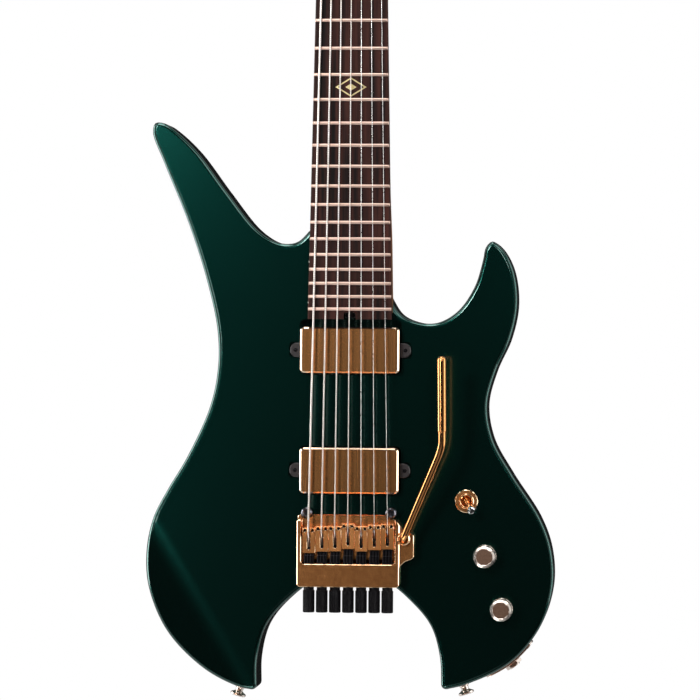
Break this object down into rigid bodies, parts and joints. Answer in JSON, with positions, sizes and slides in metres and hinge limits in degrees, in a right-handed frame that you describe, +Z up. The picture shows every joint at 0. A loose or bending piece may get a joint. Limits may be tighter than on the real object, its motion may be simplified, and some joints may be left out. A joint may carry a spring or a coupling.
{
  "type": "headless electric guitar",
  "caption": "Headless electric guitar with a green horned body, arched lower cutout, gold tilting bridge with tuner knobs, arm, pickups, switch and knobs.",
  "frame": {"origin": "on the flat back face of the body, on the centre line, 140 mm above the scale line", "axes": "+Z up the neck, -Y out of the body's front face, +X to the treble side"},
  "size_m": [0.331, 0.1046, 0.8596],
  "materials": {
    "green_lacquer": "dark green metallic under clear gloss lacquer",
    "neck_maple": "oiled maple, satin",
    "board_ebony": "bare dark ebony",
    "graphite": "matt black",
    "gold_plate": "gold plated, satin to bright",
    "black_plate": "black plated steel",
    "bright_steel": "bright steel",
    "black_plastic": "matt black plastic"
  },
  "bodies": {
    "guitar": {"body": "green_lacquer", "neck": "neck_maple", "fretboard": "board_ebony", "nut": "graphite", "headpiece": "gold_plate", "neck_pickup_cover": "gold_plate", "neck_pickup_base": "black_plastic", "bridge_pickup_cover": "gold_plate", "bridge_pickup_base": "black_plastic", "string_1": "bright_steel", "string_2": "bright_steel", "string_3": "bright_steel", "string_4": "bright_steel", "string_5": "bright_steel", "string_6": "bright_steel", "string_7": "bright_steel", "pivot_stud_bass": "black_plate", "pivot_stud_treble": "black_plate", "spring_claw": "bright_steel", "tremolo_spring_1": "bright_steel", "tremolo_spring_2": "bright_steel", "tremolo_spring_3": "bright_steel", "tremolo_cover": "black_plastic", "control_cover": "black_plastic", "toggle_switch": "gold_plate", "volume_pot": "bright_steel", "tone_pot": "bright_steel", "jack_plate": "gold_plate", "jack_socket": "gold_plate", "strap_button_bass": "gold_plate", "strap_button_treble": "gold_plate", "strap_button_horn": "gold_plate"},
    "wheel": {"truss_rod_wheel": "black_plate"},
    "bridge": {"bridge_plate": "gold_plate", "tremolo_block": "bright_steel", "saddle_1": "gold_plate", "saddle_2": "gold_plate", "saddle_3": "gold_plate", "saddle_4": "gold_plate", "saddle_5": "gold_plate", "saddle_6": "gold_plate", "saddle_7": "gold_plate"},
    "arm": {"tremolo_arm": "gold_plate"},
    "knob_1": {"tuner_knob_1": "black_plate"},
    "knob_2": {"tuner_knob_2": "black_plate"},
    "knob_3": {"tuner_knob_3": "black_plate"},
    "knob_4": {"tuner_knob_4": "black_plate"},
    "knob_5": {"tuner_knob_5": "black_plate"},
    "knob_6": {"tuner_knob_6": "black_plate"},
    "knob_7": {"tuner_knob_7": "black_plate"},
    "sled_1": {"tuner_sled_1": "black_plate"},
    "sled_2": {"tuner_sled_2": "black_plate"},
    "sled_3": {"tuner_sled_3": "black_plate"},
    "sled_4": {"tuner_sled_4": "black_plate"},
    "sled_5": {"tuner_sled_5": "black_plate"},
    "sled_6": {"tuner_sled_6": "black_plate"},
    "sled_7": {"tuner_sled_7": "black_plate"},
    "lever": {"switch_lever": "bright_steel"},
    "volume": {"volume_knob": "gold_plate"},
    "tone": {"tone_knob": "gold_plate"}
  },
  "joints": [
    {"name": "bridge_tilt", "type": "hinge", "parent": "guitar", "child": "bridge", "pos_m": [0, -0.05, -0.1357], "axis": [1, 0, 0], "range_deg": [-12, 3], "stiffness_Nm_per_rad": 15, "deforming": ["string_1", "string_2", "string_3", "string_4", "string_5", "string_6", "string_7", "tremolo_spring_1", "tremolo_spring_2", "tremolo_spring_3"]},
    {"name": "arm_swing", "type": "hinge", "parent": "bridge", "child": "arm", "pos_m": [0.04476, -0.061, -0.156], "axis": [0, 1, 0], "range_deg": [-60, 110]},
    {"name": "truss_wheel_turn", "type": "hinge", "parent": "guitar", "child": "wheel", "pos_m": [0, -0.0491, 0.0253], "axis": [0, 0, 1], "range_deg": [-360, 360]},
    {"name": "tuner_1_turn", "type": "hinge", "parent": "bridge", "child": "knob_1", "pos_m": [-0.03168, -0.0545, -0.1954], "axis": [0, 0, 1], "range_deg": [-2520, 720]},
    {"name": "tuner_2_turn", "type": "hinge", "parent": "bridge", "child": "knob_2", "pos_m": [-0.02112, -0.0545, -0.1954], "axis": [0, 0, 1], "range_deg": [-2520, 720]},
    {"name": "tuner_3_turn", "type": "hinge", "parent": "bridge", "child": "knob_3", "pos_m": [-0.01056, -0.0545, -0.1954], "axis": [0, 0, 1], "range_deg": [-2520, 720]},
    {"name": "tuner_4_turn", "type": "hinge", "parent": "bridge", "child": "knob_4", "pos_m": [0, -0.0545, -0.1954], "axis": [0, 0, 1], "range_deg": [-2520, 720]},
    {"name": "tuner_5_turn", "type": "hinge", "parent": "bridge", "child": "knob_5", "pos_m": [0.01056, -0.0545, -0.1954], "axis": [0, 0, 1], "range_deg": [-2520, 720]},
    {"name": "tuner_6_turn", "type": "hinge", "parent": "bridge", "child": "knob_6", "pos_m": [0.02112, -0.0545, -0.1954], "axis": [0, 0, 1], "range_deg": [-2520, 720]},
    {"name": "tuner_7_turn", "type": "hinge", "parent": "bridge", "child": "knob_7", "pos_m": [0.03168, -0.0545, -0.1954], "axis": [0, 0, 1], "range_deg": [-2520, 720]},
    {"name": "sled_1_slide", "type": "slide", "parent": "bridge", "child": "sled_1", "axis": [0, 0, 1], "range_m": [-0.0049, 0.0014]},
    {"name": "sled_2_slide", "type": "slide", "parent": "bridge", "child": "sled_2", "axis": [0, 0, 1], "range_m": [-0.0049, 0.0014]},
    {"name": "sled_3_slide", "type": "slide", "parent": "bridge", "child": "sled_3", "axis": [0, 0, 1], "range_m": [-0.0049, 0.0014]},
    {"name": "sled_4_slide", "type": "slide", "parent": "bridge", "child": "sled_4", "axis": [0, 0, 1], "range_m": [-0.0049, 0.0014]},
    {"name": "sled_5_slide", "type": "slide", "parent": "bridge", "child": "sled_5", "axis": [0, 0, 1], "range_m": [-0.0049, 0.0014]},
    {"name": "sled_6_slide", "type": "slide", "parent": "bridge", "child": "sled_6", "axis": [0, 0, 1], "range_m": [-0.0049, 0.0014]},
    {"name": "sled_7_slide", "type": "slide", "parent": "bridge", "child": "sled_7", "axis": [0, 0, 1], "range_m": [-0.0049, 0.0014]},
    {"name": "lever_flip", "type": "hinge", "parent": "guitar", "child": "lever", "pos_m": [0.0944, -0.0448, -0.1256], "axis": [0.8251, 0, 0.565], "range_deg": [-54, 0]},
    {"name": "volume_turn", "type": "hinge", "parent": "guitar", "child": "volume", "pos_m": [0.1095, -0.0445, -0.1697], "axis": [0, -1, 0], "range_deg": [-140, 140]},
    {"name": "tone_turn", "type": "hinge", "parent": "guitar", "child": "tone", "pos_m": [0.1231, -0.0445, -0.2123], "axis": [0, -1, 0], "range_deg": [-140, 140]}
  ],
  "couplings": [
    {"joint": "sled_1_slide", "follows": "tuner_1_turn", "m_per_rad": 0.00011141},
    {"joint": "sled_2_slide", "follows": "tuner_2_turn", "m_per_rad": 0.00011141},
    {"joint": "sled_3_slide", "follows": "tuner_3_turn", "m_per_rad": 0.00011141},
    {"joint": "sled_4_slide", "follows": "tuner_4_turn", "m_per_rad": 0.00011141},
    {"joint": "sled_5_slide", "follows": "tuner_5_turn", "m_per_rad": 0.00011141},
    {"joint": "sled_6_slide", "follows": "tuner_6_turn", "m_per_rad": 0.00011141},
    {"joint": "sled_7_slide", "follows": "tuner_7_turn", "m_per_rad": 0.00011141}
  ]
}
